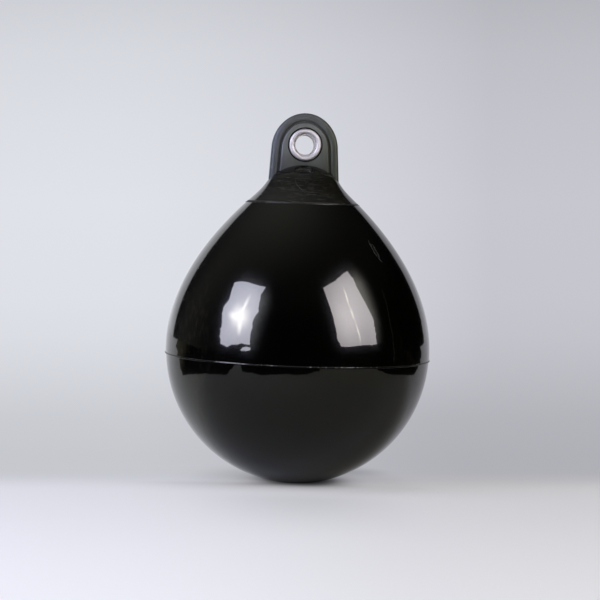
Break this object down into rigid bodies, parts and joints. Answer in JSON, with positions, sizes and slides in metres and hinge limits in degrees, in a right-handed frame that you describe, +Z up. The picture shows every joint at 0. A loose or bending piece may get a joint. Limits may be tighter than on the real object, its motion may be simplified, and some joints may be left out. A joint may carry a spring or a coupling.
{
  "type": "mooring buoy",
  "caption": "Hollow pear-shaped mooring buoy in black vinyl, with a grey lug standing in a black eye cap, a metal-lined rope eye and an air valve.",
  "frame": {"origin": "centre of the flat foot that the buoy stands on", "axes": "+Z up along the buoy's axis towards the eye, Y along the eye's bore with the valve towards -Y, X across the lug"},
  "size_m": [0.3025, 0.3026, 0.4198],
  "materials": {
    "float_vinyl": "gloss",
    "cap_vinyl": "satin",
    "lug_vinyl": "satin",
    "bush_steel": "polished",
    "valve_seat_plastic": "gloss",
    "valve_plug_plastic": "satin"
  },
  "bodies": {
    "root": {"body_shell": "float_vinyl", "eye_cap": "cap_vinyl", "eye_lug": "lug_vinyl", "eye_bush": "bush_steel", "valve_seat": "valve_seat_plastic", "valve_plug": "valve_plug_plastic"}
  },
  "joints": []
}
